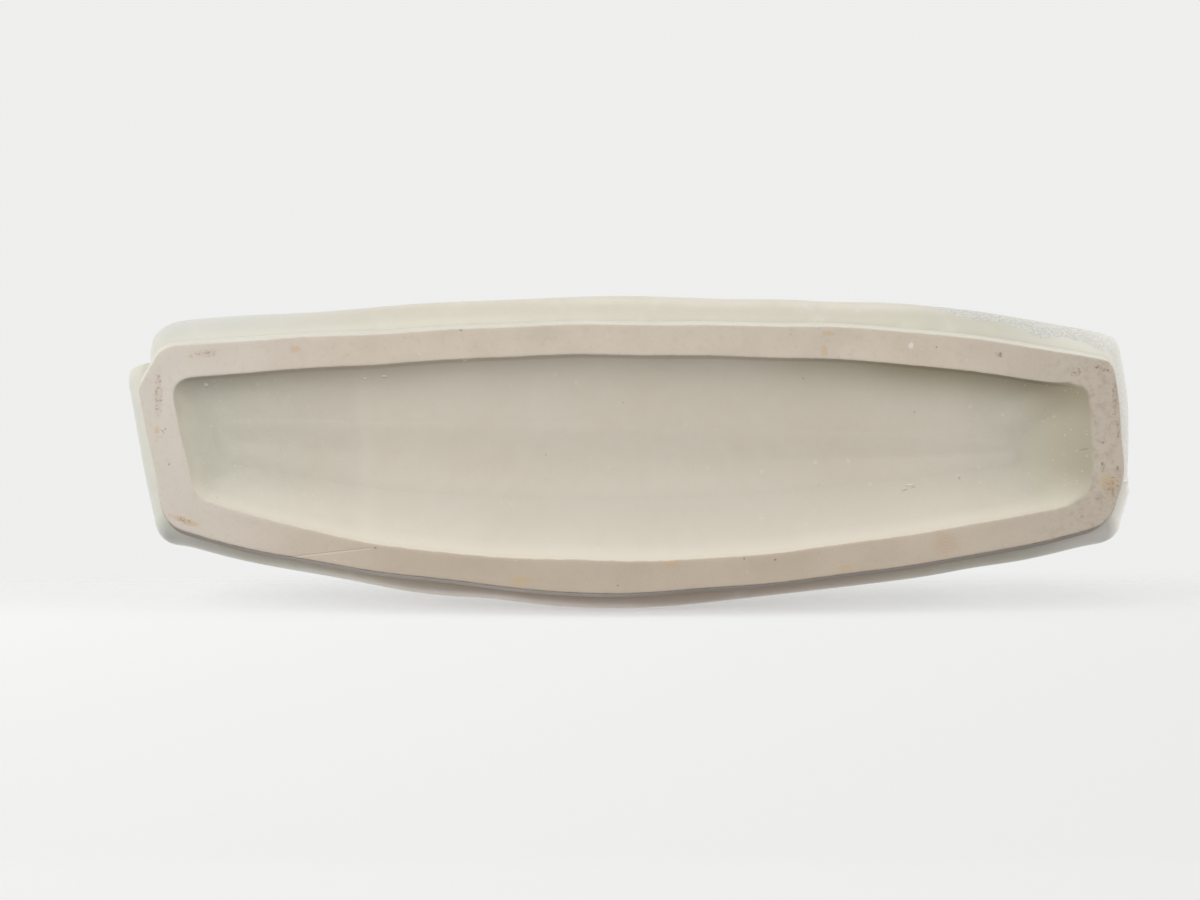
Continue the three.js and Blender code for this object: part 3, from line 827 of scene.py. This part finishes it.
GLAZE_OVER_LIP = 1.2  # how far the glaze runs over the lip there
PRINT = 78.6, 23.1  # the middle of the fingertip's print
SIDE_ROWS, SMEARED_ROWS = 9, 5  # rows of points up the outer side, and of the sole next to it


def foot_plan(distance):
    """Outlines of the foot, each standing in from the overhangs by its own distance."""
    distance = np.atleast_1d(distance)
    belly = np.broadcast_to(body_plan(np.zeros(1)), (len(distance), 5, 2))
    plan = inset(belly, OVERHANGS + distance[:, None])
    along_end, along_front = unit(plan[:, 0] - plan[:, 4]), unit(plan[:, 1] - plan[:, 0])
    cut_end = plan[:, 0] - along_end * CUT_END
    cut_front = plan[:, 0] + along_front * CUT_FRONT + np.array([0, -CUT_TURN])
    at_seam = plan[:, 2] + np.array([SEAM_CORNER, 0])
    corners = np.stack([cut_front, plan[:, 1], at_seam, plan[:, 3], plan[:, 4], cut_end], 1)
    return trace(corners, FOOT_ROUNDS, FOOT_BOWS, FOOT_CRESTS, [240, 30, 30, 240, 40, 20])


def cove(lip, floor):
    """Rows of plan points, their depth and how bare they are, down to the recess's floor. The
    distance past the lip is softened by a hyperbola; the depth is a sine over the lip's steep
    run, plus an exponential over the whole width, or a soft step where the lip was smoothed."""
    width, softness = norm(floor - lip), smooth((lip[:, 0] - SMOOTHED_FROM) / SMOOTHED_OVER)
    soft, drop = LIP_SOFT + (SMOOTHED_SOFT - LIP_SOFT) * softness, LIP_DROP * (1 - softness)
    near = np.linspace(-2.5, 3, 16)[:, None] * soft
    past = np.concatenate([near, near[-1] + (width - near[-1]) * np.linspace(0, 1, 26)[1:, None] ** 1.3])
    inland = (past + np.sqrt(past ** 2 + soft ** 2)) / 2
    inland = (inland - inland[0]) * width / (inland[-1] - inland[0])
    share = inland / width
    curl = (1 - np.exp(-COVE_CURL * share)) / (1 - math.exp(-COVE_CURL))
    slope = curl * (1 - softness) + smooth(share) * softness
    depth = drop * np.sin(math.pi / 2 * np.clip(inland / LIP_RUN, 0, 1)) + (RECESS - 0.025 - drop) * slope
    bare = -(past + GLAZE_OVER_LIP * softness) / (1 + 4 * softness) - 0.05
    return lip + (floor - lip) * (past / width)[..., None], depth, bare


def worn_back(points):
    """The back strip's outer face stands out by up to a millimetre and a half in two places."""
    x, y = points[..., 0], points[..., 1]
    swell = 1.5 * np.exp(-((x + 12) / 22) ** 2) + 0.9 * np.exp(-((x + 100) / 22) ** 2)
    points[..., 1] += swell * smooth((y - 12) / 8)
    return points


def settle(points):
    """The foot's outlines wander by a quarter of a millimetre, as cut and sponged clay does."""
    x, y = points[..., 0].copy(), points[..., 1].copy()
    points[..., 1] += 0.20 * np.sin(x / 13.1) + 0.10 * np.sin(x / 5.3 + 1)
    points[..., 0] += 0.15 * np.sin(y / 6.5) + 0.08 * np.sin(y / 2.7)
    return points


def bare_clay(tree):
    """The foot's wiped clay, as colour and height in mm: blushed and grainy, ochre and scuffed in
    places, with nicks, a crumb of glaze, a scratch and the ridges of a fingertip's print."""
    where = place(tree)
    grain = noise(where, 1400, 3, 0.7)
    blush = noise(where, 55, 4, 0.6)
    tiny = noise(where, 480, 4, 0.7)
    x, y = millimetres(tree)[:2]
    clay = blend(ramp(blush, 0.35, 0.65), srgb(218, 206, 189), srgb(211, 198, 181))
    # Painted light and shade across the clay: browner and darker towards the back, darker towards the right
    # end and paler towards the left end, as the light falls.
    clay = tint(clay, (182, 162, 140), ramp(y, 4, 32, 0, 0.45))
    clay = tint(clay, (194, 184, 171), ramp(x, 70, 118, 0, 0.6))
    clay = tint(clay, (222, 214, 205), ramp(x, -60, -118, 0, 0.6))
    clay = tint(clay, (190, 172, 155), ramp(tiny, 0.5, 0.75, 0, 0.30))
    pale = use_group(tree, specks, Spacing=620, Share=0.20, Size=0.16)
    dark = use_group(tree, specks, Spacing=480, Share=0.10, Size=0.10)
    clay = tint(clay, (236, 230, 220), pale["Mask"], 0.35)
    clay = tint(clay, (140, 118, 98), dark["Mask"], 0.45)
    wobble = linear(tiny, 4.4, -2.2)
    ochre = patches(tree, wobble, [
        (48.2, -25.1, 1, 1.5), (49.2, -29.4, 1.6, 0.7), (9.7, 28.4, 2.4, 0.9, 0.05),
        (-27.5, 32.4, 3.2, 1.1, -0.1), (53.4, 29.1, 1.8, 0.7), (-110.1, -23.8, 0.7, 0.6),
        (-118.6, -5.3, 0.7, 1), (119.5, 8, 2.4, 2.6), (-84, -25.5, 1.6, 0.9),
        (-111.5, 17.4, 4, 0.9, 0.35)])
    clay = tint(clay, (207, 178, 134), ochre, 0.5)
    mottled = times(ramp(tiny, 0.42, 0.66), ramp(x, 96, 119))
    clay = tint(clay, (160, 138, 116), mottled, 0.3)
    scuffed = patches(tree, wobble, [
        (-118.3, -14, 1.1, 6), (-106.4, -24.4, 2.8, 1, -0.1), (-111.8, 17.4, 2.4, 0.8, 0.5),
        (111, -19.8, 1.6, 1.2), (117.6, -20.6, 2, 0.7, 0.3), (120.9, -14, 0.7, 6),
        (121.6, -5, 0.5, 3), (118, 4, 0.7, 1.6), (120.2, 9.2, 2, 2.8),
        (122.6, 9.8, 0.6, 3), (116.8, 12, 0.8, 1.5), (112.6, 15.2, 0.7, 1.7),
        (92, -24.2, 1.2, 0.8)])
    pits = ramp(noise(where, 1300, 2, 0.6), 0.52, 0.64)
    clay = tint(clay, (186, 164, 140), scuffed, 0.22)
    clay = tint(clay, (142, 116, 92), scuffed, pits, 0.38)
    nicks = patches(tree, 0, [
        (-117.2, -5, 0.5, 0.18, 1.1), (-116.5, -5.5, 0.22, 0.25), (-115.6, 3.3, 0.25, 0.25),
        (118, -2.1, 0.3, 0.35), (117.8, 3.2, 0.3, 0.5), (121.6, 4.3, 0.3, 0.6),
        (116.4, -20.9, 0.5, 0.25), (119.1, -20.2, 0.4, 0.3), (76.3, -26, 0.25, 0.25),
        (92.3, -24.2, 0.35, 0.6), (-64, 24.2, 0.4, 0.2), (-122.4, -23.3, 0.25, 0.25),
        (-42.6, -30.2, 0.4, 0.22), (28.2, 26.9, 0.25, 0.35), (36, 27.2, 0.3, 0.3),
        (-3.4, 33.6, 0.25, 0.25)])
    clay = tint(clay, (122, 98, 76), nicks, 0.5)
    crumb = patches(tree, wobble, [
        (69.9, -26.5, 0.7, 0.9), (72.6, -25.6, 0.4, 0.3), (34.6, -22.6, 0.3, 0.3)])
    clay = tint(clay, (238, 234, 226), crumb, 0.7)
    from_scratch = calc("ABSOLUTE", calc("ADD", y, linear(x, 0.11, -17.1)))
    scratch = times(ramp(from_scratch, 0.30, 0.10), ramp(calc("ABSOLUTE", calc("ADD", x, 75)), 11, 8))
    clay = tint(clay, (228, 218, 204), scratch, 0.4)
    print_x, print_y = calc("SUBTRACT", x, PRINT[0]), calc("SUBTRACT", y, PRINT[1])
    ridge = calc("ADD", times(print_x, print_x), times(print_y, print_y))
    ridge = linear(tiny, 0.9, calc("SQRT", ridge))
    ridge = calc("SINE", times(ridge, 8))
    fingertip = patches(tree, wobble, [(*PRINT, 3.6, 3, 0.1)])
    clay = tint(clay, (196, 156, 116), fingertip, ramp(ridge, -0.4, 0.9, 0.12, 0.36))
    dents = calc("MAXIMUM", times(scuffed, pits), nicks)
    height = calc("SUBTRACT", times(grain, 0.10), times(dents, 0.25))
    return clay, linear(scratch, -0.15, height)


def make_foot_clay():
    """Bare clay where the bare value is high. Elsewhere the recess's glaze has run down over it,
    or, where the outer value is high, the walls' glaze, which lies in the shade at the back."""
    material, tree = new_material("foot_clay")
    clay, clay_height = bare_clay(tree)
    inner_glaze, clouds, glaze_height = recess_color(tree)
    bare_edge = on_points(tree, "bare")
    wander = linear(noise(place(tree), 300, 3, 0.6), 0.5, -0.25)
    bare = ramp(calc("ADD", bare_edge, wander), -0.12, 0.16)
    outer_side = ramp(on_points(tree, "outer"), 0.4, 0.6)
    outer_glaze = use_group(tree, glaze, Pale=srgb(226, 224, 212), Deep=srgb(212, 210, 196), Contrast=0.32)
    shaded = ramp(millimetres(tree)[1], 0, 16, 0, 0.9)
    outer_color = tint(outer_glaze["Color"], (132, 114, 100), shaded)
    fired = blend(outer_side, inner_glaze, outer_color)
    rough = linear(bare, 0.42, linear(clouds, 0.15, 0.40))
    height = blend(bare, glaze_height, clay_height, data_type="FLOAT")
    finish(material, blend(bare, fired, clay), rough, height)
    return material


foot_clay = make_foot_clay()
rise = np.linspace(1, 0.14, SIDE_ROWS)
turn = np.radians(np.linspace(0, 90, 8))
edge_in = FOOT_EDGE * (1 - np.cos(turn))
outer_outline, outer_at = foot_plan(np.concatenate([-FOOT_FLARE * rise ** 2, edge_in]))
outer_heights = np.concatenate([FOOT_HEIGHT * rise, FOOT_EDGE * (1 - np.sin(turn))])
outer_bare = np.concatenate([np.full(SIDE_ROWS, -1.0), edge_in - 0.2])
recess_outlines, recess_at = recess_plan(np.array([0.0, 1.0]))
FLAT_ROWS = np.linspace(0, 1, 12)[1:-1, None]
for name, foot_from, foot_to, recess_from, recess_to, count in (
        ("front", 0, 1, 0, 1, 420), ("right", 1, 3, 1, 2, 140),
        ("back", 3, 4, 2, 3, 420), ("left", 4, 0, 3, 0, 160)):
    outside = np.stack([span(line, outer_at[foot_from], outer_at[foot_to], count, even=False)
                        for line in outer_outline])
    outside = worn_back(outside)
    lip, floor = (span(line, recess_at[recess_from], recess_at[recess_to], count, even=False)
                  for line in recess_outlines)
    inside, depth, inside_bare = cove(lip, floor)
    sole = outside[-1] + (inside[0] - outside[-1]) * FLAT_ROWS[..., None]
    crown = 0.05 * (1 + np.sin(sole[..., 0] / 6.1 + sole[..., 1] / 3.7)) * np.sin(math.pi * FLAT_ROWS)
    width = norm(inside[0] - outside[-1])
    sole_bare = np.minimum(FLAT_ROWS, 1 - FLAT_ROWS) * width + 0.4
    plan = np.concatenate([outside, sole, inside])
    z = np.concatenate([np.repeat(outer_heights[:, None], count, 1), crown, depth])
    bare_value = np.concatenate([np.repeat(outer_bare[:, None], count, 1), sole_bare, inside_bare])
    on_outside = np.arange(len(plan)) < len(outside) + SMEARED_ROWS
    outer_value = np.repeat(on_outside[:, None].astype(float), count, 1)
    section = lift(settle(plan), z)
    top = lift(section[..., :2], FOOT_HEIGHT + 0.02)
    strip = make_piece("foot_strip_" + name, *between(section[::-1], top[::-1]), foot_clay,
                       bare=np.tile(bare_value[::-1], (2, 1)), outer=np.tile(outer_value[::-1], (2, 1)))


# Floors and light: the vase stands on one pale floor, and in the photograph's view lies on
# another, made of narrow slats that face the camera there. Each shows only from its own side.
FLOOR_GAP = 0.2  # below the foot, so that the two faces never coincide
SLAT, OVERLAP = 1.0 * MM, 1.3  # the slats' spacing, and their depth over what just hides the gaps


def make_floor(name, corners, fade, pale, glow):
    """A matt floor of four-sided pieces, as white as its pale value, which glows a little to keep
    the backdrop's tone, and passes into the backdrop by its fade function."""
    material, tree = new_material(name)
    tree.nodes.remove(tree.nodes["Principled BSDF"])
    solid = fade(put(tree, "SeparateXYZ", place(tree), output=None))
    facing = calc("SUBTRACT", 1.0, put(tree, "NewGeometry", output="Backfacing"))
    show = times(put(tree, "LightPath", output="Is Camera Ray"), facing, solid)
    diffuse = put(tree, "BsdfDiffuse", (pale, pale, pale * 0.99, 1))
    lit = put(tree, "AddShader", diffuse, put(tree, "Emission", (glow, glow, glow, 1)))
    mix = put(tree, "MixShader", show, put(tree, "BsdfTransparent"), lit)
    give(tree.nodes["Material Output"].inputs["Surface"], mix)
    mesh = bpy.data.meshes.new(name)
    corners = np.reshape(corners, (-1, 3))
    mesh.from_pydata(corners.tolist(), [], np.arange(len(corners)).reshape(-1, 4).tolist())
    mesh.materials.append(material)
    floor = add_object(name, mesh)


def fade_round(axes):
    """Whole within 0.3 m of the vase's axis, and gone past 0.95 m."""
    square = calc("ADD", times(axes["X"], axes["X"]), times(axes["Y"], axes["Y"]))
    return ramp(calc("SQRT", square), 0.95, 0.3)


def fade_back(axes):
    """Whole below the foot, and gone 0.1 m up the vase."""
    return ramp(axes["Z"], 0.10, 0.0)


under_z, back_y = cad_box[0][2] - FLOOR_GAP * MM, cad_box[1][1] + FLOOR_GAP * MM
standing = [(-1, -1, under_z), (1, -1, under_z), (1, 1, under_z), (-1, 1, under_z)]
make_floor("floor", standing, fade_round, 0.66, 0.04)
slat_z = np.arange(-0.14, 0.11, SLAT)
slat_y = back_y + OVERLAP * (back_y - camera.location.y) * SLAT / (slat_z - camera.location.z)
slats = [[(-0.5, back_y, z), (-0.5, y, z), (0.5, y, z), (0.5, back_y, z)] for y, z in zip(slat_y, slat_z)]
make_floor("lying_floor", slats, fade_back, 0.80, 0.24)


def area_lamp(name, direction, distance, size, level, glossy=True):
    """A soft square lamp aimed at the vase. At level 1 it lights a facing surface just so that
    its colour renders as written."""
    data = bpy.data.lights.new(name, "AREA")
    data.size = size
    data.energy = level * math.pi ** 2 * distance ** 2
    lamp = add_object(name, data)
    d = unit(np.array(direction, dtype=float))
    lamp.location = d * distance
    lamp.rotation_euler = Vector(d).to_track_quat("Z", "Y").to_euler()
    lamp.visible_camera = False
    lamp.visible_glossy = glossy


area_lamp("key", (-0.35, -0.5, -0.8), 1.1, 0.9, 0.51)
area_lamp("left", (-0.92, -0.22, -0.32), 1.3, 0.9, 0.54, glossy=False)
area_lamp("right", (0.95, -0.2, -0.22), 1.5, 0.9, 0.64, glossy=False)
area_lamp("top", (0.25, -0.6, 0.76), 1.5, 1.0, 0.40, glossy=False)
area_lamp("behind", (-0.3, 0.45, 0.84), 1.5, 1.0, 0.60, glossy=False)
area_lamp("low_front", (0.2, -0.93, 0.3), 1.4, 0.8, 0.12)
area_lamp("low_back", (-0.2, 0.82, 0.54), 1.4, 0.8, 0.12)
world = bpy.data.worlds.new("world")
bpy.context.scene.world = world
world.use_nodes = True
sky = world.node_tree
backdrop = sky.nodes["Background"]
backdrop.inputs["Color"].default_value = (0.86, 0.86, 0.855, 1)
ambient = put(sky, "Background", (0.22, 0.22, 0.22, 1))
path = put(sky, "LightPath", output=None)
seen = calc("MAXIMUM", path["Is Camera Ray"], path["Is Glossy Ray"])
seen = calc("MAXIMUM", seen, path["Is Transmission Ray"])
mix = put(sky, "MixShader", seen, ambient, backdrop.outputs[0])
give(sky.nodes["World Output"].inputs["Surface"], mix)
bpy.context.scene.view_settings.view_transform = "Standard"
